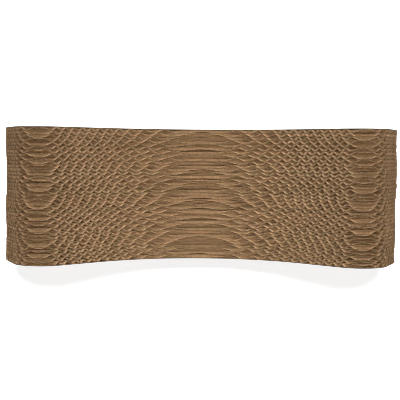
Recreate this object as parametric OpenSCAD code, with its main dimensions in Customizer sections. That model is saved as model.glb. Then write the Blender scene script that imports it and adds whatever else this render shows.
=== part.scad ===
// Lounge-shaped cat scratcher of corrugated cardboard. Equal boards, all cut to one outline, stand
// side by side and are glued face to face between two plain facing sheets. The cut edges of the
// boards, with their open flutes, make the seat that the cat scratches.
// X runs along the lounge, Y across the stack of boards and Z up. The origin is the middle of the
// footprint, on the floor.

/* [Stack] */
// Number of corrugated boards in the stack
board_count = 37; // [5:2:45]
// Thickness of one corrugated board over both of its liners
board_thickness = 4.8; // [3:0.1:7]
// Thickness of the glue between neighbouring boards
glue_film = 0.2; // [0.1:0.05:0.5]
// Width of a stripe of glue
glue_width = 8; // [3:1:20]
// Thickness of the facing sheet on each outer side
facing_thickness = 0.6; // [0.4:0.1:2]

/* [Corrugated board] */
// Distance from one flute to the next
flute_pitch = 8.7; // [6:0.1:12]
// Paper thickness of the two flat liners
liner_thickness = 0.25; // [0.15:0.05:0.5]
// Paper thickness of the fluted medium between the liners
medium_thickness = 0.25; // [0.15:0.05:0.5]

/* [Profile] */
// Overall length
length = 558; // [500:1:600]
// Height of the two crests above the floor
height = 185; // [172:1:210]
// Height of the seat's lowest point above the floor
seat_height = 84; // [70:1:100]
// Slope in degrees of the straight ramps between the seat and the crests
ramp_angle = 39.5; // [34:0.5:47]
// Radius of the crests
crest_radius = 42; // [32:1:52]
// Distance from the top of a crest out to the end of the lounge
end_reach = 62; // [50:1:70]
// Radius of the rounded ends, which turn under the lounge down to its feet
nose_radius = 90; // [78:1:98]
// Length of the flat foot under each end
foot_length = 46; // [25:1:80]
// Height of the shallow arch between the feet
arch_height = 22; // [8:1:40]

/* [Hidden] */

// How far a trimmed shape runs past what trims it
overrun = 1;
// Points of the outline that are closer than this are one point
same_point = 0.001;
// Steps along each arc of the outline
seat_steps = 6;
crest_inner_steps = 3;
crest_outer_steps = 4;
nose_upper_steps = 2;
nose_lower_steps = 7;
arch_steps = 3;

// Places across the stack
layer_pitch = board_thickness + glue_film;
board_stack_width = board_count * layer_pitch - glue_film;
first_board_y = -board_stack_width / 2;

// Seat and ramps: the seat's arc runs into a straight ramp, and the ramp into the crest's arc. The
// two arcs bend by the same angle, so their radii together follow from the rise between them.
crest_x = length / 2 - end_reach;
seat_depth = height - seat_height;
radii_sum = (crest_x * sin(ramp_angle) - seat_depth * cos(ramp_angle)) / (1 - cos(ramp_angle));
seat_radius = radii_sum - crest_radius;

// Rounded ends: a straight flank, which touches both arcs, runs from the crest's arc to the nose's
foot_outer = length / 2 - nose_radius;
crest_from_nose = [crest_x - foot_outer, height - crest_radius - nose_radius];
flank_turn = atan2(crest_from_nose[0], crest_from_nose[1])
    + acos((nose_radius - crest_radius) / norm(crest_from_nose));

// The arch between the feet is a single arc over the inner edges of both
foot_inner = foot_outer - foot_length;
arch_radius = (pow(foot_inner, 2) + pow(arch_height, 2)) / (2 * arch_height);
arch_turn = asin(foot_inner / arch_radius);

seat_centre = [0, seat_height + seat_radius];
crest_centre = [crest_x, height - crest_radius];
nose_centre = [foot_outer, nose_radius];
arch_centre = [0, arch_height - arch_radius];

// The medium folds to and fro between the liners. Its centre line reaches the inner face of each
// liner, so the outside of every fold sinks into the liner that it is bonded to.
fold_reach = board_thickness / 2 - liner_thickness;
fold_rise = flute_pitch / 2;
flank_length = norm([2 * fold_reach, fold_rise]);
// Distance along Y from the medium's centre line to either of its faces
fold_skin = medium_thickness / 2 * flank_length / fold_rise;
fold_count = ceil(height / fold_rise) + 4;

// Where the flutes begin differs from board to board. The boards are cut one after another from a
// long web and come in piles. Within a pile the flutes step on evenly from each board to the next,
// and every other pile lies turned over, with another step. Each board strays a little from that.
// The piles end at these shares of the number of boards.
pile_end_shares = [0.08, 0.24, 0.41, 0.57, 0.65, 0.73, 0.89, 1];
flute_step_shares = [0.65, 0.22];
flute_jitter_share = 0.12;
flute_jitter_seed = 11;
flute_jitter_shares = rands(-flute_jitter_share, flute_jitter_share, board_count, flute_jitter_seed);

// Glue: one long stripe along the web under the seat, and one upright stripe in each end
web_stripe_z = (arch_height + seat_height) / 2;
end_stripe_low = nose_radius / 2;
end_stripe_high = height - crest_radius;

function board_name(n) = str("board_", n < 10 ? "0" : "", n);

function board_y(n) = first_board_y + (n - 1) * layer_pitch;

// Step of the flutes from board n to the next one
function flute_step(n) =
    let (piles_before = len([for (share = pile_end_shares) if (round(share * board_count) < n) share]))
    flute_step_shares[piles_before % 2];

// All the steps up to board n
function flute_steps(n) = n > 1 ? flute_steps(n - 1) + flute_step(n - 1) : 0;

function flute_phase(n) =
    let (phase = flute_steps(n) + flute_jitter_shares[n - 1])
    phase - floor(phase);

// Points of an arc, at angles measured from straight up towards +X
function arc(centre, radius, from, to, steps) = [
    for (i = [0:steps])
        let (angle = from + (to - from) * i / steps)
        centre + radius * [sin(angle), cos(angle)]
];

// Right half of the outline, from the middle of the seat over the crest and round the nose to the
// middle of the arch
half_outline = concat(
    arc(seat_centre, seat_radius, 180, 180 - ramp_angle, seat_steps),
    arc(crest_centre, crest_radius, -ramp_angle, 0, crest_inner_steps),
    arc(crest_centre, crest_radius, 0, flank_turn, crest_outer_steps),
    arc(nose_centre, nose_radius, flank_turn, 90, nose_upper_steps),
    arc(nose_centre, nose_radius, 90, 180, nose_lower_steps),
    arc(arch_centre, arch_radius, arch_turn, 0, arch_steps)
);

// The outline of the lounge seen from the front. Where one arc ends in the next, the shared point
// is kept once, and so are the two points on the middle line.
module outline() {
    right = [
        for (i = [0:len(half_outline) - 1])
            if (i == 0 || norm(half_outline[i] - half_outline[i - 1]) > same_point)
                half_outline[i]
    ];
    left = [for (i = [len(right) - 2:-1:1]) [-right[i][0], right[i][1]]];
    polygon(concat(right, left));
}

// Sheet of the lounge's outline, from y to y + thickness
module sheet(y, thickness) {
    translate([0, y + thickness, 0])
        rotate([90, 0, 0])
            linear_extrude(thickness)
                outline();
}

// The folded paper between the liners, running the length of the lounge and centred on y = 0. Even
// folds lie on the back liner and odd ones on the front liner.
module medium(phase) {
    folds = [
        for (i = [0:fold_count])
            [(i % 2 == 0 ? 1 : -1) * fold_reach, fold_rise * (i - 2 - 2 * phase)]
    ];
    front_face = [for (i = [0:fold_count]) folds[i] - [fold_skin, 0]];
    back_face = [for (i = [fold_count:-1:0]) folds[i] + [fold_skin, 0]];
    rotate([90, 0, 90])
        translate([0, 0, -length / 2 - overrun])
            linear_extrude(length + 2 * overrun)
                polygon(concat(front_face, back_face));
}

// One corrugated board: two flat liners and the medium that is bonded between them
module board(n) {
    y = board_y(n);
    color("burlywood") {
        sheet(y, liner_thickness);
        sheet(y + board_thickness - liner_thickness, liner_thickness);
        intersection() {
            sheet(y, board_thickness);
            translate([0, y + board_thickness / 2, 0])
                medium(flute_phase(n));
        }
    }
}

module facing_front() {
    color("peru")
        sheet(first_board_y - glue_film - facing_thickness, facing_thickness);
}

module facing_back() {
    color("peru")
        sheet(-first_board_y + glue_film, facing_thickness);
}

// Stripes of glue in every joint of the stack, those to the two facing sheets included
module glue_stripes() {
    end_stripe_height = end_stripe_high - end_stripe_low;
    color("wheat")
        for (joint = [0:board_count]) {
            y = first_board_y + joint * layer_pitch - glue_film;
            translate([-foot_outer, y, web_stripe_z - glue_width / 2])
                cube([2 * foot_outer, glue_film, glue_width]);
            for (side = [-1, 1])
                translate([side * crest_x - glue_width / 2, y, end_stripe_low])
                    cube([glue_width, glue_film, end_stripe_height]);
        }
}

facing_front();
facing_back();
glue_stripes();
for (n = [1:board_count])
    board(n);
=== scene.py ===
import math

import bpy
import numpy as np
from bpy.props import FloatProperty, FloatVectorProperty, IntProperty, PointerProperty
from mathutils import Matrix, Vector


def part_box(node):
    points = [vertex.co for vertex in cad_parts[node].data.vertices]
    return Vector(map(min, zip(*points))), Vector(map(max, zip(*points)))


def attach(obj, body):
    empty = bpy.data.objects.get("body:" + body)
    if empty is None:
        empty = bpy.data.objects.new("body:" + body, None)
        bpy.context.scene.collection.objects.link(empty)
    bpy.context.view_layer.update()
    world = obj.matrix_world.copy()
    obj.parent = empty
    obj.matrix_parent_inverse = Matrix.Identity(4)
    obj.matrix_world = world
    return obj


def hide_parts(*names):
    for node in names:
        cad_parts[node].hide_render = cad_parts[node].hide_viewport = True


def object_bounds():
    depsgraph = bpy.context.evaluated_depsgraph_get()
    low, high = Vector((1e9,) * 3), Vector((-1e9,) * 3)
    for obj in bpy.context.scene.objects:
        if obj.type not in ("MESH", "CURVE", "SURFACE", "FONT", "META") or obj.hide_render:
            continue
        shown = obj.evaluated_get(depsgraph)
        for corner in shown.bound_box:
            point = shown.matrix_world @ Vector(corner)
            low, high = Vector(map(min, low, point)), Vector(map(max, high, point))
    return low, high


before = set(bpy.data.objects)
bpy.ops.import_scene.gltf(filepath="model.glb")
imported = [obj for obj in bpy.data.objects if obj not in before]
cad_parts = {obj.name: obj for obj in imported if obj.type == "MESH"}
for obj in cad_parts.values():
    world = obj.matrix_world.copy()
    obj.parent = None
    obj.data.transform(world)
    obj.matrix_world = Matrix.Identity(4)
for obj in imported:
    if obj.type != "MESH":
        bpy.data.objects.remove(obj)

# Lounge-shaped cat scratcher of corrugated cardboard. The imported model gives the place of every
# board, the phase of its flutes and the size of the whole. The pieces below are the same boards
# and facing sheets with smooth flutes, thin paper and cut edges.

bl_info = {
    "name": "Cardboard lounge",
    "version": (1, 0, 0),
    "blender": (4, 5, 0),
    "location": "3D View > Sidebar > Lounge",
    "description": "Boards, facing sheets, glue and studio of a cardboard cat lounge",
    "category": "Object",
}

MM = 0.001
CAD_LOW, CAD_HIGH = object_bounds()
BOARDS = sorted(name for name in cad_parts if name.startswith("board_"))
BOARD_LOW, BOARD_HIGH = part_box(BOARDS[0])


def linear(red, green, blue):
    """Linear colour of an sRGB colour given as numbers from 0 to 255."""
    srgb = np.array([red, green, blue]) / 255
    return tuple(np.where(srgb <= 0.04045, srgb / 12.92, ((srgb + 0.055) / 1.055) ** 2.4))


def maker_of(kind, **fixed):
    """Function that makes a property of a kind from its name, description and default."""
    return lambda name, description, default: kind(
        name=name, description=description, default=default, **fixed
    )


# Makers for a length in metres, an angle in radians, a power, a share, a place and a colour
length_of = maker_of(FloatProperty, unit="LENGTH", precision=5)
radians_of = maker_of(FloatProperty, unit="ROTATION")
power_of = maker_of(FloatProperty, unit="POWER")
share_of = maker_of(FloatProperty, subtype="FACTOR")
place_of = maker_of(FloatVectorProperty, subtype="TRANSLATION", unit="LENGTH")
rgba_of = maker_of(FloatVectorProperty, size=4, subtype="COLOR", min=0, max=1)


def angle_of(name, description, degrees):
    """Property for an angle given in degrees."""
    return radians_of(name, description, math.radians(degrees))


def colour_of(name, description, red, green, blue):
    """Property for an opaque colour given as sRGB numbers from 0 to 255."""
    return rgba_of(name, description, (*linear(red, green, blue), 1.0))


# Settings

class LoungeOutline(bpy.types.PropertyGroup):
    """Outline that every board and both facing sheets are cut to."""

    length: length_of("Length", "Overall length", CAD_HIGH[0] - CAD_LOW[0])
    height: length_of("Height", "Height of the crests above the floor", CAD_HIGH[2])
    seat_height: length_of("Seat height", "Height of the seat's lowest point", 84 * MM)
    ramp_angle: angle_of("Ramp angle", "Slope of the straight ramps", 39.5)
    crest_radius: length_of("Crest radius", "Radius of the two crests", 42 * MM)
    end_reach: length_of("End reach", "Distance from a crest's top out to the end", 62 * MM)
    nose_radius: length_of("Nose radius", "Radius of the rounded ends", 90 * MM)
    foot_length: length_of("Foot length", "Length of the flat foot under each end", 46 * MM)
    arch_height: length_of("Arch height", "Height of the arch between the feet", 22 * MM)
    step: length_of("Step", "Distance between points along the outline", 2.6 * MM)


class LoungeBoard(bpy.types.PropertyGroup):
    """Corrugated board and how it is made up."""

    liner: length_of("Liner", "Paper thickness of the two liners", 0.25 * MM)
    liner_swell: length_of("Liner swell", "How far a liner swells into the glue", 0.09 * MM)
    medium: length_of("Medium", "Paper thickness of the fluted medium", 0.25 * MM)
    flute_pitch: length_of("Flute pitch", "Distance from one flute to the next", 8.7 * MM)
    flute_points: IntProperty(
        name="Flute points", description="Points on a flute", default=14, min=6
    )
    flute_wander: length_of("Flute wander", "How far a flute strays from its even place", 0.8 * MM)


class LoungeCut(bpy.types.PropertyGroup):
    """How uneven the cut edges of the boards are."""

    low_cut: length_of("Low cut", "How far a board may stand below the outline", 0.6 * MM)
    slip: length_of("Slip", "How far a smooth wave through the stack moves the boards", 0.9 * MM)
    stray: length_of("Stray", "How far each board strays from that wave", 0.3 * MM)
    nibble: length_of("Nibble", "Depth of the unevenness along a cut edge", 0.25 * MM)
    flare: length_of("Flare", "How far a cut edge of paper bends aside", 0.16 * MM)
    flare_depth: length_of("Flare depth", "How deep below the cut the paper bends", 5 * MM)
    seed: IntProperty(name="Seed", description="Start of all the random numbers", default=7)


class LoungePaper(bpy.types.PropertyGroup):
    """Colours of the papers and the glue."""

    kraft: colour_of("Kraft", "Middle colour of the corrugated board", 161, 133, 103)
    kraft_red: colour_of("Reddish kraft", "Colour of the most reddish papers", 172, 137, 104)
    kraft_olive: colour_of("Olive kraft", "Colour of the most olive papers", 160, 137, 103)
    # Deep kraft is painted shade: a darker brown that stands in for the shade inside the flutes
    deep: colour_of("Deep kraft", "Colour of the paper inside the flutes", 110, 82, 53)
    # Fleck is also the colour of the painted shade at the ends and in the pits of cut edges
    fleck: colour_of("Fleck", "Colour of the dark fibres in the paper", 96, 66, 38)
    cut: colour_of("Cut edge", "Colour of the torn fibres on a cut edge", 87, 65, 41)
    # Pale cut edge: colour of the cut edges at the very ends and low down
    pale_cut: colour_of("Fresh cut edge", "Colour of the cut edges that no paw reaches", 150, 124, 96)
    facing: colour_of("Facing", "Colour of the facing sheets", 158, 126, 92)
    facing_cut: colour_of("Facing edge", "Colour of the facing sheets' cut edges", 72, 62, 50)
    glue: colour_of("Glue", "Colour of the dried glue", 226, 214, 186)


class LoungeStage(bpy.types.PropertyGroup):
    """Floor, light and camera."""

    lens: FloatProperty(name="Lens", description="Focal length", default=76.5, unit="CAMERA")
    camera_x: length_of("Camera X", "Place of the camera along the lounge", -1.4 * MM)
    camera_y: length_of("Camera Y", "Place of the camera across the stack", 57 * MM)
    camera_z: length_of("Camera Z", "Height of the camera above the floor", 1311 * MM)
    tilt: angle_of("Tilt", "How far the camera looks away from straight down", 3.05)
    roll: angle_of("Roll", "Turn of the camera about its own axis", 0.41)
    sky: share_of("Sky", "Strength of the even light from above", 0.12)
    horizon: share_of("Horizon", "Strength of the light from just above the floor", 1.0)
    horizon_end: share_of("Horizon end", "Upward part of a direction where it fades", 0.12)
    sky_start: share_of("Sky start", "Upward part of a direction where the sky begins", 0.24)
    key: power_of("Key", "Power of the key light", 2.4)
    key_place: place_of("Key place", "Place of the key light", (0.12, 0.98, 3.2))
    key_size: length_of("Key size", "Side of the key light", 0.42)
    key_spread: angle_of("Key spread", "How wide the key light throws its light", 18)
    fill: power_of("Fill", "Power of the fill light", 17)
    fill_place: place_of("Fill place", "Place of the fill light", (0.3, -2.4, 0.45))
    fill_size: length_of("Fill size", "Side of the fill light", 0.8)
    end: power_of("End lamps", "Power of each low lamp past an end", 13)
    end_reach: length_of("End lamps' reach", "Distance from the middle to the low lamps", 2.4)
    end_wide: length_of("End lamps' width", "Width of the low lamps", 1.2)
    end_tall: length_of("End lamps' height", "Height of the low lamps", 0.12)
    floor: colour_of("Floor", "Colour of the floor", 170, 170, 170)
    floor_glow: share_of("Floor glow", "How much lighter the floor looks than it is lit", 0.8)
    floor_half: length_of("Floor half", "Distance from the middle to each edge of the floor", 12)
    floor_drop: length_of("Floor drop", "How far the floor lies below the feet", 0.1 * MM)


SETTINGS = {
    "outline": LoungeOutline,
    "board": LoungeBoard,
    "cut": LoungeCut,
    "paper": LoungePaper,
    "stage": LoungeStage,
}


class LoungeSettings(bpy.types.PropertyGroup):
    """All settings of the lounge."""

    __annotations__ = {title: PointerProperty(type=group) for title, group in SETTINGS.items()}


# Shape of the outline

# Points along each arc, before places are read off it
DENSE = 4000
# How far the outermost columns and levels stay inside the outline
COLUMN_GAP = 0.005 * MM
LEVEL_GAP = 0.004 * MM
# Columns closer than this share of a step are one, and so are levels closer than this length
CLOSEST_COLUMNS = 0.12
CLOSEST_LEVELS = 0.03 * MM
# Steps from a level stretch at which levels are added
CLOSE_STEPS = np.arange(1, 12)


class Outline:
    """Right half of the outline as four curves: height of the upper and of the lower edge at a
    place along the lounge, and the inner and outer end of the chord at a height."""

    def __init__(self, s):
        """Each arc is its centre plus its radius times the sine and cosine of an angle measured
        from straight up. The seat's arc and the crest's arc turn by the ramp's angle, so the sum
        of their radii is (crest x times sine, less seat depth times cosine) over one less cosine.
        A straight flank touches the crest's arc and the nose's arc at one angle, which is the
        direction between their centres plus the arc cosine of their radii's difference over the
        centres' distance."""
        half = s.length / 2
        crest_x = half - s.end_reach
        depth = s.height - s.seat_height
        sine, cosine = math.sin(s.ramp_angle), math.cos(s.ramp_angle)
        seat_radius = (crest_x * sine - depth * cosine) / (1 - cosine) - s.crest_radius
        nose_x = half - s.nose_radius
        rise = s.height - s.crest_radius - s.nose_radius
        turn = math.atan2(crest_x - nose_x, rise)
        turn += math.acos((s.nose_radius - s.crest_radius) / math.hypot(crest_x - nose_x, rise))
        foot_inner = nose_x - s.foot_length
        arch_radius = (foot_inner**2 + s.arch_height**2) / (2 * s.arch_height)
        arch_turn = math.asin(foot_inner / arch_radius)
        seat = (0, s.seat_height + seat_radius)
        crest = (crest_x, s.height - s.crest_radius)
        nose = (nose_x, s.nose_radius)
        dish = self.arc(seat, seat_radius, math.pi, math.pi - s.ramp_angle)
        inner = np.vstack([dish, self.arc(crest, s.crest_radius, -s.ramp_angle, 0)])
        outer_crest = self.arc(crest, s.crest_radius, 0, turn)
        outer = np.vstack([outer_crest, self.arc(nose, s.nose_radius, turn, math.pi / 2)])
        under = self.arc(nose, s.nose_radius, math.pi / 2, math.pi)[::-1]
        arch = self.arc((0, s.arch_height - arch_radius), arch_radius, 0, arch_turn)
        self.half, self.height, self.crest_x = half, s.height, crest_x
        self.seat_height, self.arch_height, self.foot_outer = s.seat_height, s.arch_height, nose_x
        self.upper = np.vstack([inner, outer[1:]])
        self.lower = np.vstack([arch, under])
        self.inner, self.arch = inner, arch[::-1]
        run, rise = np.abs(np.diff(self.upper, axis=0)).T
        self.steep = np.clip(np.arctan2(rise, run) / s.ramp_angle, 0, 1)
        self.outer = np.vstack([under, outer[::-1][1:]])

    @staticmethod
    def arc(centre, radius, start, end):
        """Centre plus radius times the sine and cosine of angles from start to end."""
        angle = np.linspace(start, end, DENSE)
        return np.add(centre, radius * np.stack([np.sin(angle), np.cos(angle)], axis=1))

    def top_z(self, x):
        """Height of the upper edge at x."""
        return np.interp(np.abs(x), self.upper[:, 0], self.upper[:, 1])

    def bottom_z(self, x):
        """Height of the lower edge at x."""
        return np.interp(np.abs(x), self.lower[:, 0], self.lower[:, 1])

    def steepness(self, x):
        """Slope of the upper edge at x, as a share of the ramp's slope: 0 where the edge runs
        level and 1 on the ramps and outside the crests."""
        return np.interp(np.abs(x), self.upper[1:, 0], self.steep)

    def outer_x(self, z):
        """Distance from the middle to the rounded end at height z."""
        return np.interp(z, self.outer[:, 1], self.outer[:, 0])

    def inner_x(self, z):
        """Distance from the middle to where the board begins at height z: the arch below, nothing
        between arch and seat, and the seat, ramp and crest above."""
        above = np.interp(z, self.inner[:, 1], self.inner[:, 0])
        below = np.interp(z, self.arch[:, 1], self.arch[:, 0])
        return np.where(z < self.arch_height, below, np.where(z > self.seat_height, above, 0))

    def columns(self, step):
        """Places along X about a step apart along both edges, from the left end to the right. The
        curves are walked by their own length, and the two sets of places are merged."""
        places = []
        for curve in (self.upper, self.lower):
            walked = np.concatenate([[0], np.cumsum(np.hypot(*np.diff(curve, axis=0).T))])
            count = round(walked[-1] / step)
            places.append(np.interp(np.linspace(0, walked[-1], count + 1), walked, curve[:, 0]))
        x = np.unique(np.concatenate(places))
        x[-1] = self.half - COLUMN_GAP
        x = x[np.concatenate([[True], np.diff(x) > step * CLOSEST_COLUMNS])]
        return np.concatenate([-x[:0:-1], x])

    def levels(self, even_step, step):
        """Heights an even step apart, with closer ones where the outline runs level: under the
        crest, over the seat's lowest point, under the arch's top and over the floor."""
        even = np.linspace(LEVEL_GAP, self.height - LEVEL_GAP, round(self.height / even_step))
        close = [even]
        for curve, places in ((self.upper, (self.crest_x, 0)), (self.lower, (0, self.foot_outer))):
            for place in places:
                close.append(np.interp(place + step * CLOSE_STEPS, curve[:, 0], curve[:, 1]))
        z = np.unique(np.concatenate(close))
        z = z[(z >= even[0]) & (z <= even[-1])]
        return z[np.concatenate([[True], np.diff(z) > CLOSEST_LEVELS])]


# Mesh code

# Usual peak of a sum of sines, as a share of the sum of their weights
USUAL_PEAK = 0.6
# Places of the three points near a cut edge, as shares of the depth to which the paper bends, and
# their limits as shares of the sheet's own span there
INSETS = np.array([0, 0.25, 1])
INSET_LIMITS = np.array([0, 0.15, 0.4])
# Trim of a lower edge, as a share of the upper edge's trim
LOWER_TRIM = 0.4
# Least height of a flat sheet and least length of a fluted one
LEAST_HEIGHT = 0.2 * MM
LEAST_LENGTH = 0.02 * MM
# How far along its noise the medium's bend moves for each metre of height
BEND_DRIFT = 0.37
# Share of the painted flute shade that the paper keeps where the seat and the crests run level
LEVEL_SHADE_SHARE = 0.7
# Faces that meet at more than this angle meet at a sharp edge
SHARP_ANGLE = math.radians(40)
# Micrometres in a metre, and how many of them may lie between places that are one
MICRONS = 1e6
SAME_PLACE = 5


def wave_noise(rng, shortest, longest, count=7):
    """Smooth noise: a sum of sines whose wavelengths, phases and weights are random, scaled so
    that it mostly stays between -1 and 1."""
    wavelength = np.exp(rng.uniform(np.log(shortest), np.log(longest), count))
    phase = rng.uniform(0, 2 * np.pi, count)
    weight = rng.uniform(0.5, 1, count)
    weight /= weight.sum() * USUAL_PEAK

    def value(u):
        """Noise at each u."""
        turn = 2 * np.pi * np.asarray(u)[..., None] / wavelength
        return (weight * np.sin(turn + phase)).sum(axis=-1)

    return value


def grid_quads(index):
    """Corners of the quads of a grid of vertex numbers: each vertex with its next in the row, in
    the column, and in both."""
    corners = index[:-1, :-1], index[1:, :-1], index[1:, 1:], index[:-1, 1:]
    return np.stack(corners, axis=-1).reshape(-1, 4)


def wall_quads(first, second):
    """Corners of the quads of the wall between two edges of as many vertices each."""
    return np.stack([first[:-1], first[1:], second[1:], second[:-1]], axis=-1)


def cut_mask(faces, walls):
    """0 for each quad of the faces and then 1 for each quad of the walls, which are cut edges."""
    return np.concatenate([np.zeros(sum(map(len, faces))), np.ones(sum(map(len, walls)))])


def shell(f, b, kept=slice(None)):
    """Faces and walls of a closed shell: two grids of vertex numbers, and a wall along each of
    their four borders. Of the first wall, only the kept quads are there."""
    faces = [grid_quads(f), grid_quads(b)[:, ::-1]]
    walls = [
        wall_quads(f[:, 0], b[:, 0])[kept][:, ::-1],
        wall_quads(f[:, -1], b[:, -1]),
        wall_quads(f[0], b[0]),
        wall_quads(f[-1], b[-1])[:, ::-1],
    ]
    return faces, walls


def slab(front, back, deep):
    """Closed sheet between two grids of points, front and back. Gives points, quads, the mask of
    its cut edges, and the share of painted shade at each point."""
    rows, cols = front.shape[:2]
    f = np.arange(rows * cols).reshape(rows, cols)
    faces, walls = shell(f, f + rows * cols)
    points = np.concatenate([front.reshape(-1, 3), back.reshape(-1, 3)])
    return points, np.concatenate(faces + walls), cut_mask(faces, walls), np.tile(deep.ravel(), 2)


def outward(points, quads):
    """The quads with their corners in the order that faces outwards. The sheet's volume is a sixth
    of the sum of triple products over its triangles, and it is positive if faces point outwards."""
    a, b, c, d = (points[quads[:, i]] for i in range(4))
    volume = (a * (np.cross(b, c) + np.cross(c, d))).sum()
    return quads if volume > 0 else quads[:, ::-1]


def make_piece(name, parts, material):
    """Object of several closed sheets. Each part is points, quads, cut mask, shares of painted
    shade and tone. The mesh keeps the mask, the shares of painted shade and the tone as its
    attributes cut, depth and tone."""
    points, quads, cut, deep, tone, start = [], [], [], [], [], 0
    for part_points, part_quads, part_cut, part_shade, part_tone in parts:
        used, part_quads = np.unique(part_quads, return_inverse=True)
        part_points, part_quads = part_points[used], part_quads.reshape(-1, 4)
        points.append(part_points)
        quads.append(outward(part_points, part_quads) + start)
        cut.append(part_cut)
        deep.append(part_shade[used])
        tone.append(np.full(len(part_quads), part_tone))
        start += len(part_points)
    points, quads = np.concatenate(points), np.concatenate(quads)
    mesh = bpy.data.meshes.new(name)
    mesh.vertices.add(len(points))
    mesh.vertices.foreach_set("co", points.astype(np.float32).ravel())
    mesh.loops.add(quads.size)
    mesh.loops.foreach_set("vertex_index", quads.astype(np.int32).ravel())
    mesh.polygons.add(len(quads))
    mesh.polygons.foreach_set("loop_start", np.arange(0, quads.size, 4, dtype=np.int32))
    mesh.update(calc_edges=True)
    layers = ("cut", "FACE", cut), ("tone", "FACE", tone), ("depth", "POINT", deep)
    for title, domain, values in layers:
        layer = mesh.attributes.new(title, "FLOAT", domain)
        layer.data.foreach_set("value", np.concatenate(values).astype(np.float32))
    mesh.shade_smooth()
    mesh.set_sharp_from_angle(angle=SHARP_ANGLE)
    if mesh.validate():
        raise RuntimeError(f"{name} has broken faces")
    mesh.materials.append(material)
    piece = bpy.data.objects.new(name, mesh)
    bpy.context.scene.collection.objects.link(piece)
    return piece


def insets(span, bend_depth):
    """Distances from a cut edge of the three points that stand near it."""
    return np.minimum(INSETS * bend_depth, span * INSET_LIMITS)


def fade(depth, bend_depth):
    """Share of the bend that is left at a depth: one less the depth's share, squared."""
    return np.clip(1 - depth / bend_depth, 0, 1) ** 2


def painted_shade_share(outline, x, depth, full_depth):
    """How much painted shade of deep brown the paper has at each point: it grows evenly from none
    at the cut edge to all at full depth, and is less under the level stretches, which lie open to
    light."""
    open_share = LEVEL_SHADE_SHARE + (1 - LEVEL_SHADE_SHARE) * outline.steepness(x)
    return np.clip(depth / full_depth, 0, 1) * open_share


def flat_sheet(outline, columns, low, high, trim, bend, bend_depth):
    """Sheet of the lounge's outline between two planes of y. A column of points stands at each
    place along X, with three points near the lower edge and three near the upper one. trim(x)
    lowers the upper edge, and raises the lower one by a share of that. bend(x) moves the paper
    along Y, fading from the cut edge down to bend_depth."""
    x = columns[:, None]
    top = outline.top_z(x) - trim(x)
    bottom = np.minimum(outline.bottom_z(x) + LOWER_TRIM * trim(x), top - LEAST_HEIGHT)
    inset = insets(top - bottom, bend_depth)
    z = np.concatenate([bottom + inset, (top - inset)[:, ::-1]], axis=1)
    depth = np.concatenate([inset, inset[:, ::-1]], axis=1)
    aside = bend(x) * fade(depth, bend_depth)
    x = x + np.zeros_like(z)
    front = np.stack([x, low + aside, z], axis=-1)
    back = np.stack([x, high + aside, z], axis=-1)
    return slab(front, back, painted_shade_share(outline, x, depth, bend_depth))


def fluted_sheet(outline, levels, middle, s, phase, trim, bend, stray, bend_depth):
    """The folded medium, as the profile of a wave carried along X and trimmed by the outline. Its
    middle line is y = reach times the cosine of a whole turn for each flute pitch of height, and
    its two skins lie half the paper's thickness to either side, square to the wave. Each half of
    the lounge is a grid of levels and columns from the inner to the outer end of the chord, and
    the halves are joined where the chord runs through the middle."""
    reach = (BOARD_HIGH[1] - BOARD_LOW[1]) / 2 - s.liner
    around = 2 * np.pi * ((levels + stray(levels)) / s.flute_pitch + phase)
    slope = -reach * 2 * np.pi / s.flute_pitch * np.sin(around)
    along = s.medium / 2 / np.sqrt(1 + slope**2)
    y = middle + reach * np.cos(around)
    inner_x = outline.inner_x(levels)
    seam = (levels >= outline.arch_height) & (levels <= outline.seat_height)
    above = levels > outline.seat_height
    lowered = np.where(above, outline.inner_x(levels + trim(inner_x)), inner_x)
    inner_x = np.where(seam, 0, np.minimum(lowered, outline.crest_x))
    outer_x = outline.outer_x(levels)
    lowered = np.maximum(outline.outer_x(levels + trim(outer_x)), outline.crest_x)
    outer_x = np.where(above, lowered, outer_x)
    long = np.maximum(outer_x - inner_x, LEAST_LENGTH)[:, None]
    inset = insets(long, bend_depth)
    x = np.concatenate([inner_x[:, None] + inset, inner_x[:, None] + long - inset[:, ::-1]], axis=1)
    depth = np.concatenate([np.where(seam[:, None], bend_depth, inset), inset[:, ::-1]], axis=1)
    points, numbers = [], []
    count = x.size
    for side in (-1, 1):
        aside = bend(side * x + BEND_DRIFT * levels[:, None]) * fade(depth, bend_depth)
        for skin in (-1, 1):
            skin_z = np.clip(levels - skin * along * slope, 0, outline.height)
            skin_y = y + skin * along
            grid = np.stack([side * x, skin_y[:, None] + aside, skin_z[:, None] + 0 * x], axis=-1)
            numbers.append(np.arange(count).reshape(x.shape) + count * len(numbers))
            points.append(grid.reshape(-1, 3))
    for left, right in ((numbers[0], numbers[2]), (numbers[1], numbers[3])):
        left[seam, 0] = right[seam, 0]
    open_ends = ~(seam[:-1] & seam[1:])
    faces, walls = [], []
    for f, b, order in ((numbers[0], numbers[1], -1), (numbers[2], numbers[3], 1)):
        half_faces, half_walls = shell(f, b, open_ends)
        faces += [quads[:, ::order] for quads in half_faces]
        walls += [quads[:, ::order] for quads in half_walls]
    deep = np.tile(painted_shade_share(outline, x, depth, bend_depth).ravel(), 4)
    return np.concatenate(points), np.concatenate(faces + walls), cut_mask(faces, walls), deep


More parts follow.
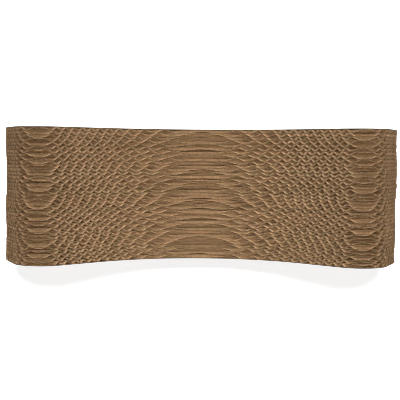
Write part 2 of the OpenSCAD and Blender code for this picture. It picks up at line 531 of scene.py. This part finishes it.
def flute_phase(node, s):
    """Share of a flute by which a packed board's flutes are shifted. On the inner face of its back
    liner, each fold of the medium leaves points in pairs about the fold's height, so the phase is
    the mean direction of these points, taken as angles of a whole turn for each flute pitch. The
    points of the outline, which the outer face has too, are left out."""
    mesh = node.data
    points = np.empty(len(mesh.vertices) * 3, np.float32)
    mesh.vertices.foreach_get("co", points)
    points = np.round(points.reshape(-1, 3).astype(float) * MICRONS).astype(int)
    outer_y = points[:, 1].max()
    inner_y = outer_y - round(s.liner * MICRONS)
    outer = np.unique(points[np.abs(points[:, 1] - outer_y) < SAME_PLACE][:, [0, 2]], axis=0)
    inner = np.unique(points[np.abs(points[:, 1] - inner_y) < SAME_PLACE][:, [0, 2]], axis=0)
    shared = (np.abs(inner[:, None] - outer[None]).max(axis=2) < SAME_PLACE).any(axis=1)
    heights = inner[~shared, 1] / MICRONS
    turn = np.exp(-2j * np.pi * heights / s.flute_pitch).mean()
    return float(np.angle(turn) / (2 * np.pi)) % 1


# Material code

# Scales of the noises in the papers and the glue
KRAFT_FIBRES, FACING_FIBRES = 900.0, 1500.0
MOTTLES, CLOUDS, GLUE_CLOUDS = 300.0, 34.0, 260.0
FUZZ, TUFTS = 3800.0, 420.0
RIB_WANDERS, RIB_PATCHES = 16.0, 9.0
# Stretch of the fibres along X, and the scale of the flecks as a share of the fibres' scale
STRETCH = (0.16, 1.0, 1.0)
FLECK_SCALE = 0.45
# Noise at which a fleck begins, how far the share of flecks lowers it, and the fleck's soft rim
FLECK_EDGE, FLECK_REACH, FLECK_RIM = 0.78, 0.3, 0.06
# Depth of a fleck, and share of the finer noise in the fuzz of a cut edge
FLECK_DEPTH, FINE_FUZZ = 0.3, 0.55
# Ranges of noise that are spread from 0 to 1
EVEN_NOISE, MOTTLE_NOISE, PATCH_NOISE = (0.3, 0.7), (0.34, 0.66), (0.35, 0.65)
FUZZ_NOISE, PIT_NOISE = (0.36, 0.62), (0.44, 0.34)
# How far the ribs of the facing sheets wander up and down, and how faint they get in patches
RIB_WANDER, FAINT_RIBS = 4 * MM, 0.35
# Turns through the hues while the tone goes from 0 to 1, and the middle kraft's share in them
HUE_TURNS, EVEN_SHARE = 7.13, 0.45
# Least and most light with each effect, from none of it to all of it
TONE_LIGHT, MOTTLE_LIGHT = (0.86, 1.08), (0.8, 1.16)
FIBRE_LIGHT, CLOUD_LIGHT = (0.92, 1.08), (0.93, 1.06)
# The ribs' lighter and darker bands are painted shade of their relief, beside their bump
FACING_FIBRE_LIGHT, FACING_CLOUD_LIGHT, RIB_SHADE = (0.93, 1.07), (0.92, 1.07), (0.95, 1.03)
# Shares of the fleck colour in flecks, in the painted shade of pits and at most of the ends
FLECK_SHARE, FACING_FLECK_SHARE, PIT_SHADE_SHARE, END_SHADE_SHARE = 0.35, 0.3, 0.4, 0.5
# Shares of the cut colour in a cut edge without and with fuzz, and in a facing sheet's fuzz
TORN_SHARES, FACING_FUZZ_SHARE = (0.95, 0.55), 0.25
# Most of the paper's colour in the glue
GLUE_STAIN = 0.35
# Least and most roughness of each surface, and what a cut edge adds
KRAFT_ROUGH, FACING_ROUGH, GLUE_ROUGH = (0.74, 0.86), (0.62, 0.76), (0.35, 0.6)
CUT_ROUGH = 0.12
# Height of the fuzz and of the ribs in the bumps, against the fibres' height
FUZZ_HEIGHT, RIB_HEIGHT = 2.0, 0.9
# Places along the lounge where painted shade darkens the ends, and then cut edges turn paler
END_SHADE_SPAN = CAD_HIGH[0] - 61 * MM, CAD_HIGH[0] - 17 * MM
PALE_CUT_ENDS = CAD_HIGH[0] - 13 * MM, CAD_HIGH[0] - 2 * MM
# Heights between which the cut edges turn paler on the way down
PALE_CUT_BELOW = 75 * MM, 55 * MM
# Colour of the light that the world and the floor give out
WHITE = (1.0, 1.0, 1.0, 1.0)


def feed(tree, node, inputs):
    """Gives a node its inputs, by name or number. An input is a value or another socket."""
    for title, value in inputs.items():
        if isinstance(value, bpy.types.NodeSocket):
            tree.links.new(value, node.inputs[title])
        else:
            node.inputs[title].default_value = value


def add_node(tree, kind, inputs=None, **settings):
    """Node of a kind, with its settings and its inputs."""
    node = tree.nodes.new(kind)
    for title, value in settings.items():
        setattr(node, title, value)
    feed(tree, node, inputs or {})
    return node


def new_group(title, inputs, outputs):
    """Node group that takes a vector and named numbers and gives named numbers. Returned are its
    tree, the outputs of its input node, and its output node."""
    tree = bpy.data.node_groups.new(title, "ShaderNodeTree")
    tree.interface.new_socket(name="Vector", in_out="INPUT", socket_type="NodeSocketVector")
    for side, names in (("INPUT", inputs), ("OUTPUT", outputs)):
        for name in names:
            tree.interface.new_socket(name=name, in_out=side, socket_type="NodeSocketFloat")
    return tree, tree.nodes.new("NodeGroupInput").outputs, tree.nodes.new("NodeGroupOutput")


def use_group(tree, title, inputs):
    """Outputs of a node group placed in a tree."""
    return add_node(tree, "ShaderNodeGroup", inputs, node_tree=bpy.data.node_groups[title]).outputs


def maths(tree, operation, *values):
    """Output of a Math node."""
    return add_node(tree, "ShaderNodeMath", dict(enumerate(values)), operation=operation).outputs[0]


def product(tree, *values):
    """Product of two or more values."""
    result = values[0]
    for value in values[1:]:
        result = maths(tree, "MULTIPLY", result, value)
    return result


def noise(tree, vector, scale, detail=2.0, roughness=0.5):
    """Value of a noise texture."""
    inputs = {"Vector": vector, "Scale": scale, "Detail": detail, "Roughness": roughness}
    return add_node(tree, "ShaderNodeTexNoise", inputs).outputs["Fac"]


def spread(tree, value, low, high, to_low=0.0, to_high=1.0):
    """Value moved from one range to another and held inside it."""
    inputs = {
        "Value": value, "From Min": low, "From Max": high, "To Min": to_low, "To Max": to_high
    }
    return add_node(tree, "ShaderNodeMapRange", inputs).outputs["Result"]


def blend(tree, factor, first, second, mode="MIX"):
    """Output of a colour Mix node."""
    inputs = {0: factor, 6: first, 7: second}
    return add_node(tree, "ShaderNodeMix", inputs, data_type="RGBA", blend_type=mode).outputs[2]


def lit_by(tree, colour, *lights):
    """Colour multiplied by the product of some values."""
    light = product(tree, *lights)
    grey = add_node(tree, "ShaderNodeCombineColor", {"Red": light, "Green": light, "Blue": light})
    return blend(tree, 1.0, colour, grey.outputs[0], "MULTIPLY")


def effect(tree, value, least_and_most):
    """Value from 0 to 1 moved to a range."""
    return spread(tree, value, 0.0, 1.0, *least_and_most)


def bump(tree, strength, distance, height):
    """Normal of a bump from a height."""
    inputs = {"Strength": strength, "Distance": distance, "Height": height}
    return add_node(tree, "ShaderNodeBump", inputs).outputs[0]


def build_fibre_group():
    """Fibres of brown paper: long fine noise along the sheet, short dark flecks, small mottles and
    broad clouds."""
    outputs = "Fibre", "Fleck", "Mottle", "Cloud", "Height"
    tree, given, result = new_group("Paper fibres", ("Fibre scale", "Fleck share"), outputs)
    place, scale = given["Vector"], given["Fibre scale"]
    along = add_node(tree, "ShaderNodeMapping", {"Vector": place, "Scale": STRETCH}).outputs[0]
    fibre = noise(tree, along, scale, 4.0, 0.7)
    fleck_noise = noise(tree, along, product(tree, scale, FLECK_SCALE), 3.0, 0.75)
    edge = maths(tree, "SUBTRACT", FLECK_EDGE, product(tree, given["Fleck share"], FLECK_REACH))
    fleck = spread(tree, fleck_noise, edge, maths(tree, "ADD", edge, FLECK_RIM))
    feed(tree, result, {
        "Fibre": spread(tree, fibre, *EVEN_NOISE),
        "Fleck": fleck,
        "Mottle": spread(tree, noise(tree, place, MOTTLES, 2.0, 0.6), *MOTTLE_NOISE),
        "Cloud": spread(tree, noise(tree, place, CLOUDS, 3.0, 0.6), *EVEN_NOISE),
        "Height": maths(tree, "SUBTRACT", fibre, product(tree, fleck, FLECK_DEPTH)),
    })


def build_fuzz_group():
    """Fuzz of a cut edge: short torn fibres in tufts, with pits between them."""
    tree, given, result = new_group("Cut fuzz", ("Cut",), ("Fuzz", "Pit", "Height"))
    place, cut = given["Vector"], given["Cut"]
    fine = product(tree, noise(tree, place, FUZZ, 3.0, 0.7), FINE_FUZZ)
    coarse = product(tree, noise(tree, place, TUFTS, 2.0, 0.6), 1 - FINE_FUZZ)
    both = maths(tree, "ADD", fine, coarse)
    feed(tree, result, {
        "Fuzz": product(tree, spread(tree, both, *FUZZ_NOISE), cut),
        "Pit": product(tree, spread(tree, both, *PIT_NOISE), cut),
        "Height": product(tree, both, cut),
    })


def build_washboard_group():
    """Faint ribs where the flutes show through a thin sheet, as a sine along Z."""
    tree, given, result = new_group("Washboard", ("Pitch",), ("Rib",))
    place = given["Vector"]
    z = add_node(tree, "ShaderNodeSeparateXYZ", {"Vector": place}).outputs["Z"]
    wander = product(tree, noise(tree, place, RIB_WANDERS, 1.0), RIB_WANDER)
    turn = maths(tree, "DIVIDE", maths(tree, "ADD", z, wander), given["Pitch"])
    wave = maths(tree, "SINE", product(tree, turn, 2 * math.pi))
    patch = spread(tree, noise(tree, place, RIB_PATCHES, 2.0), *PATCH_NOISE, FAINT_RIBS, 1.0)
    feed(tree, result, {"Rib": product(tree, wave, patch)})


def new_material(title):
    """Material with an empty node tree, its Principled shader and its output joined."""
    material = bpy.data.materials.new(title)
    material.use_nodes = True
    tree = material.node_tree
    tree.nodes.clear()
    shader = tree.nodes.new("ShaderNodeBsdfPrincipled")
    add_node(tree, "ShaderNodeOutputMaterial", {"Surface": shader.outputs[0]})
    return material, tree, shader


def object_place(tree):
    """Object coordinates, which are the places in the mesh."""
    return tree.nodes.new("ShaderNodeTexCoord").outputs["Object"]


def attribute(tree, name):
    """Value of a mesh attribute."""
    return add_node(tree, "ShaderNodeAttribute", attribute_name=name).outputs["Fac"]


def kraft_material(paper):
    """Brown paper of the corrugated boards. The tone attribute moves each sheet between reddish and
    olive and between dark and light, and the depth attribute mixes in a painted shade of deep brown
    inside the flutes. The cut attribute gives cut edges the darker colour of torn fibres, and a
    paler one at the very ends and low down. Painted shade darkens the ends."""
    material, tree, shader = new_material("corrugated_kraft")
    place = object_place(tree)
    tone, cut = attribute(tree, "tone"), attribute(tree, "cut")
    fibres = use_group(
        tree, "Paper fibres", {"Vector": place, "Fibre scale": KRAFT_FIBRES, "Fleck share": 0.5}
    )
    fuzz = use_group(tree, "Cut fuzz", {"Vector": place, "Cut": cut})
    hue = maths(tree, "FRACT", product(tree, tone, HUE_TURNS))
    sheet = blend(tree, hue, paper.kraft_olive, paper.kraft_red)
    sheet = blend(tree, EVEN_SHARE, sheet, paper.kraft)
    # Painted shade: the deep brown darkens the paper inside the flutes by the depth attribute
    sheet = blend(tree, attribute(tree, "depth"), sheet, paper.deep)
    sheet = lit_by(
        tree,
        sheet,
        effect(tree, tone, TONE_LIGHT),
        effect(tree, fibres["Fibre"], FIBRE_LIGHT),
        effect(tree, fibres["Cloud"], CLOUD_LIGHT),
        effect(tree, fibres["Mottle"], MOTTLE_LIGHT),
    )
    sheet = blend(tree, product(tree, fibres["Fleck"], FLECK_SHARE), sheet, paper.fleck)
    along = add_node(tree, "ShaderNodeSeparateXYZ", {"Vector": place}).outputs
    reach = maths(tree, "ABSOLUTE", along["X"])
    # Painted shade: the ends darken towards the fleck colour
    end_shade = spread(tree, reach, *END_SHADE_SPAN, 0.0, END_SHADE_SHARE)
    sheet = blend(tree, end_shade, sheet, paper.fleck)
    # Cut edges turn paler at the very ends and low down
    below = spread(tree, along["Z"], *PALE_CUT_BELOW)
    pale_cut = maths(tree, "MAXIMUM", spread(tree, reach, *PALE_CUT_ENDS), below)
    edge = blend(tree, pale_cut, paper.cut, paper.pale_cut)
    torn = product(tree, cut, effect(tree, fuzz["Fuzz"], TORN_SHARES))
    sheet = blend(tree, torn, sheet, edge)
    # Painted shade: the pits, the low parts of the fuzz's bump, darken towards the fleck colour
    sheet = blend(tree, product(tree, fuzz["Pit"], PIT_SHADE_SHARE), sheet, paper.fleck)
    rough = effect(tree, fibres["Fibre"], KRAFT_ROUGH)
    height = maths(tree, "ADD", fibres["Height"], product(tree, fuzz["Height"], FUZZ_HEIGHT))
    feed(tree, shader, {
        "Base Color": sheet,
        "Roughness": maths(tree, "ADD", rough, product(tree, cut, CUT_ROUGH)),
        "Specular IOR Level": 0.08,
        "Normal": bump(tree, 0.35, 0.05 * MM, height),
    })
    return material


def facing_material(paper, board):
    """Smoother brown paper of the facing sheets, with faint ribs of the flutes behind it, shown by
    a bump and by painted shade, and dark cut edges."""
    material, tree, shader = new_material("facing_kraft")
    place = object_place(tree)
    cut = attribute(tree, "cut")
    fibres = use_group(
        tree, "Paper fibres", {"Vector": place, "Fibre scale": FACING_FIBRES, "Fleck share": 0.4}
    )
    fuzz = use_group(tree, "Cut fuzz", {"Vector": place, "Cut": cut})
    rib = use_group(tree, "Washboard", {"Vector": place, "Pitch": board.flute_pitch})["Rib"]
    # Painted shade along the ribs of the facing sheet
    sheet = lit_by(
        tree,
        paper.facing,
        effect(tree, fibres["Fibre"], FACING_FIBRE_LIGHT),
        effect(tree, fibres["Cloud"], FACING_CLOUD_LIGHT),
        spread(tree, rib, -1.0, 1.0, *RIB_SHADE),
    )
    flecks = product(tree, fibres["Fleck"], FACING_FLECK_SHARE)
    sheet = blend(tree, flecks, sheet, paper.fleck)
    sheet = blend(tree, cut, sheet, paper.facing_cut)
    torn = product(tree, fuzz["Fuzz"], FACING_FUZZ_SHARE)
    height = maths(tree, "ADD", fibres["Height"], product(tree, rib, RIB_HEIGHT))
    feed(tree, shader, {
        "Base Color": blend(tree, torn, sheet, paper.cut),
        "Roughness": effect(tree, fibres["Fibre"], FACING_ROUGH),
        "Specular IOR Level": 0.3,
        "Normal": bump(tree, 0.5, 0.08 * MM, height),
    })
    return material


def glue_material(paper):
    """Dried glue, slightly uneven and a little shiny."""
    material, tree, shader = new_material("glue")
    place = object_place(tree)
    cloud = spread(tree, noise(tree, place, GLUE_CLOUDS, 3.0), *EVEN_NOISE)
    stain = product(tree, cloud, GLUE_STAIN)
    feed(tree, shader, {
        "Base Color": blend(tree, stain, paper.glue, paper.kraft),
        "Roughness": effect(tree, cloud, GLUE_ROUGH),
        "Normal": bump(tree, 0.4, 0.1 * MM, cloud),
    })
    return material


def background_rays(tree):
    """1 for the rays that see the studio as white: the camera's, and those of gloss and glass."""
    rays = tree.nodes.new("ShaderNodeLightPath").outputs
    bounced = maths(tree, "MAXIMUM", rays["Is Glossy Ray"], rays["Is Transmission Ray"])
    return maths(tree, "MAXIMUM", rays["Is Camera Ray"], bounced)


def floor_material(stage):
    """Pale floor that looks nearly white where it is lit, keeps the lounge's shadow and is clear
    from below."""
    material, tree, shader = new_material("studio_floor")
    feed(tree, shader, {"Base Color": stage.floor, "Roughness": 0.9, "Specular IOR Level": 0.0})
    strength = product(tree, background_rays(tree), stage.floor_glow)
    glow = add_node(tree, "ShaderNodeEmission", {"Color": WHITE, "Strength": strength})
    lit = add_node(tree, "ShaderNodeAddShader", {0: shader.outputs[0], 1: glow.outputs[0]})
    under = tree.nodes.new("ShaderNodeNewGeometry").outputs["Backfacing"]
    clear = tree.nodes.new("ShaderNodeBsdfTransparent")
    mix = add_node(tree, "ShaderNodeMixShader", {0: under, 1: lit.outputs[0], 2: clear.outputs[0]})
    feed(tree, tree.get_output_node("ALL"), {"Surface": mix.outputs[0]})
    return material


# Pieces

# Numbers that keep the streams of random numbers apart
BEND_STREAM, BOARD_STREAM, SLIP_STREAM = 1, 2, 3
FIRST_MEDIUM, FIRST_FACING = 100, 200
# Shortest and longest waves of each unevenness
NIBBLE_WAVES = 4 * MM, 60 * MM
BEND_WAVES = 6 * MM, 40 * MM
WANDER_WAVES = 25 * MM, 120 * MM
# The same for the slip, in boards, and how many waves make it up
SLIP_WAVES = 12, 40, 3
# Middle tone, and its spread from board to board and from sheet to sheet of a board
MIDDLE_TONE, BOARD_TONES, SHEET_TONES = 0.5, 0.14, 0.1
# Unevenness of the facing sheets' edges, as a share of the boards'
FACING_TRIM = 0.6


def uneven_cut(cut, number):
    """How far a board's cut edge lies below the outline, as a function of the place along the
    lounge: a depth of its own for each board, with a smooth unevenness that is never negative."""
    rng = np.random.default_rng([cut.seed, number])
    lowered = rng.uniform(0, 1) ** 2 * cut.low_cut
    uneven = wave_noise(rng, *NIBBLE_WAVES)
    return lambda x: lowered + cut.nibble * np.clip(0.5 + 0.5 * uneven(x), 0, 1)


def sideways_bend(cut, number):
    """How far paper bends aside at the cut edge, as a function of the place along the lounge. The
    two liners that are glued to each other share one number, so they bend together."""
    aside = wave_noise(np.random.default_rng([cut.seed, number, BEND_STREAM]), *BEND_WAVES)
    return lambda x: cut.flare * np.clip(aside(x), -1, 1)


def slipped(points, slip, cut):
    """Points moved along X by slip, after a shrink towards the middle that keeps the ends inside
    the outline's length."""
    most = cut.slip + cut.stray
    return points * [1 - most / CAD_HIGH[0], 1, 1] + [slip, 0, 0]


class LOUNGE_OT_boards(bpy.types.Operator):
    """Build the corrugated boards"""

    bl_idname = "lounge.boards"
    bl_label = "Build boards"

    def execute(self, context):
        """Makes one piece of two liners and a fluted medium for each packed board."""
        s = context.scene.lounge
        outline = Outline(s.outline)
        columns = outline.columns(s.outline.step)
        levels = outline.levels(s.board.flute_pitch / s.board.flute_points, s.outline.step)
        material = kraft_material(s.paper)
        swell, liner, deep = s.board.liner_swell, s.board.liner, s.cut.flare_depth
        slip_wave = wave_noise(np.random.default_rng([s.cut.seed, SLIP_STREAM]), *SLIP_WAVES)
        for number, name in enumerate(BOARDS):
            rng = np.random.default_rng([s.cut.seed, number, BOARD_STREAM])
            low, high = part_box(name)[0][1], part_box(name)[1][1]
            phase = flute_phase(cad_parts[name], s.board)
            trim = uneven_cut(s.cut, number)
            front_bend, back_bend = (sideways_bend(s.cut, joint) for joint in (number, number + 1))
            medium_bend = sideways_bend(s.cut, number + FIRST_MEDIUM)
            wander = wave_noise(rng, *WANDER_WAVES)
            board_tone = rng.normal(MIDDLE_TONE, BOARD_TONES)
            tones = np.clip(board_tone + rng.normal(0, SHEET_TONES, 3), 0, 1)
            sheets = [
                flat_sheet(outline, columns, low - swell, low + liner, trim, front_bend, deep),
                flat_sheet(outline, columns, high - liner, high + swell, trim, back_bend, deep),
                fluted_sheet(
                    outline, levels, (low + high) / 2, s.board, phase, trim, medium_bend,
                    lambda z: s.board.flute_wander * wander(z), deep,
                ),
            ]
            slip = s.cut.slip * np.clip(slip_wave(number), -1, 1) + s.cut.stray * rng.uniform(-1, 1)
            parts = [
                (slipped(points, slip, s.cut), *rest, tone)
                for (points, *rest), tone in zip(sheets, tones)
            ]
            piece = make_piece(f"corrugated_{name}", parts, material)
            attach(piece, "root")
            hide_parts(name)
        return {"FINISHED"}


class LOUNGE_OT_facings(bpy.types.Operator):
    """Build the two facing sheets"""

    bl_idname = "lounge.facings"
    bl_label = "Build facing sheets"

    def execute(self, context):
        """Makes one piece for each packed facing sheet."""
        s = context.scene.lounge
        outline = Outline(s.outline)
        columns = outline.columns(s.outline.step)
        material = facing_material(s.paper, s.board)
        for number, name in enumerate(("facing_front", "facing_back")):
            trim = uneven_cut(s.cut, number + FIRST_FACING)
            low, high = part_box(name)[0][1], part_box(name)[1][1]
            points, *rest = flat_sheet(
                outline, columns, low, high,
                lambda x: FACING_TRIM * trim(x), lambda x: 0 * x, s.cut.flare_depth,
            )
            parts = [(slipped(points, 0, s.cut), *rest, MIDDLE_TONE)]
            piece = make_piece(name.replace("facing", "facing_sheet"), parts, material)
            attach(piece, "root")
            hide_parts(name)
        return {"FINISHED"}


class LOUNGE_OT_glue(bpy.types.Operator):
    """Finish the stripes of glue"""

    bl_idname = "lounge.glue"
    bl_label = "Finish glue"

    def execute(self, context):
        """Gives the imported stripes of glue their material."""
        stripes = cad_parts["glue_stripes"]
        material = glue_material(context.scene.lounge.paper)
        for slot in stripes.material_slots:
            slot.material = material
        return {"FINISHED"}


def area_light(name, place, aim, wide, tall, power):
    """Lamp at a place, tipped from straight down by the angle whose tangent is the level distance
    over the rise, and then turned about Z, so that it faces a point."""
    lamp = bpy.data.lights.new(name, "AREA")
    lamp.shape, lamp.size, lamp.size_y, lamp.energy = "RECTANGLE", wide, tall, power
    holder = bpy.data.objects.new(name, lamp)
    bpy.context.scene.collection.objects.link(holder)
    x, y, rise = np.subtract(place, aim)
    holder.location = place
    holder.rotation_euler = (math.atan2(math.hypot(x, y), rise), 0, math.atan2(x, -y))
    return holder


class LOUNGE_OT_stage(bpy.types.Operator):
    """Set up the floor, the lights and the camera"""

    bl_idname = "lounge.stage"
    bl_label = "Set up stage"

    def execute(self, context):
        """Makes the floor, a faint sky that is brighter near the floor, a high key lamp, a low
        fill lamp in front, a low lamp past each end, and the camera above the seat."""
        scene, s = context.scene, context.scene.lounge.stage
        mesh = bpy.data.meshes.new("floor")
        far = s.floor_half
        corners = [(-far, -far, 0), (far, -far, 0), (far, far, 0), (-far, far, 0)]
        mesh.from_pydata(corners, [], [(0, 1, 2, 3)])
        mesh.materials.append(floor_material(s))
        floor = bpy.data.objects.new("floor", mesh)
        scene.collection.objects.link(floor)
        floor.location.z = -s.floor_drop

        world = bpy.data.worlds.new("studio")
        scene.world = world
        world.use_nodes = True
        tree = world.node_tree
        tree.nodes.clear()
        direction = tree.nodes.new("ShaderNodeTexCoord").outputs["Generated"]
        upward = add_node(tree, "ShaderNodeSeparateXYZ", {"Vector": direction}).outputs["Z"]
        light = spread(tree, upward, s.horizon_end, s.sky_start, s.horizon, s.sky)
        strength = spread(tree, background_rays(tree), 0.0, 1.0, light, 1.0)
        sky = add_node(tree, "ShaderNodeBackground", {"Color": WHITE, "Strength": strength})
        add_node(tree, "ShaderNodeOutputWorld", {"Surface": sky.outputs[0]})

        middle = (0, 0, CAD_HIGH[2] / 2)
        key = area_light("key", s.key_place, middle, s.key_size, s.key_size, s.key)
        key.data.spread = s.key_spread
        area_light("fill", s.fill_place, middle, s.fill_size, s.fill_size, s.fill)
        for name, side in (("end_left", -1), ("end_right", 1)):
            place = (side * s.end_reach, 0, CAD_HIGH[2] - s.end_tall)
            area_light(name, place, middle, s.end_wide, s.end_tall, s.end)

        camera = bpy.data.cameras.new("camera")
        camera.sensor_width, camera.lens = 36, s.lens
        camera.clip_start, camera.clip_end = 0.05, 50
        holder = bpy.data.objects.new("camera", camera)
        scene.collection.objects.link(holder)
        place = Matrix.Translation((s.camera_x, s.camera_y, s.camera_z))
        tipped = place @ Matrix.Rotation(-s.tilt, 4, "X")
        holder.matrix_world = tipped @ Matrix.Rotation(s.roll, 4, "Z")
        scene.camera = holder
        scene.view_settings.view_transform = "Standard"
        # A narrow pixel filter keeps the thin papers crisp
        scene.cycles.filter_width = 0.85
        return {"FINISHED"}


class LOUNGE_PT_panel(bpy.types.Panel):
    """Sidebar panel with the settings and the steps that build the lounge"""

    bl_idname = "LOUNGE_PT_panel"
    bl_label = "Cardboard lounge"
    bl_space_type = "VIEW_3D"
    bl_region_type = "UI"
    bl_category = "Lounge"

    def draw(self, context):
        """Lists every setting under its group, then one button for each operator."""
        settings = context.scene.lounge
        for title, group in SETTINGS.items():
            box = self.layout.box()
            box.label(text=title.capitalize())
            for name in group.__annotations__:
                box.prop(getattr(settings, title), name)
        for operator in OPERATORS:
            self.layout.operator(operator.bl_idname)


OPERATORS = (LOUNGE_OT_boards, LOUNGE_OT_facings, LOUNGE_OT_glue, LOUNGE_OT_stage)
CLASSES = (*SETTINGS.values(), LoungeSettings, *OPERATORS, LOUNGE_PT_panel)


def register():
    """Registers the classes and hangs the settings on the scene."""
    for cls in CLASSES:
        bpy.utils.register_class(cls)
    bpy.types.Scene.lounge = PointerProperty(type=LoungeSettings)


def unregister():
    """Takes the settings and the classes away again."""
    del bpy.types.Scene.lounge
    for cls in reversed(CLASSES):
        bpy.utils.unregister_class(cls)


def main():
    """Builds the lounge and its stage."""
    register()
    build_fibre_group()
    build_fuzz_group()
    build_washboard_group()
    bpy.ops.lounge.boards()
    bpy.ops.lounge.facings()
    bpy.ops.lounge.glue()
    bpy.ops.lounge.stage()


if __name__ == "__main__":
    main()
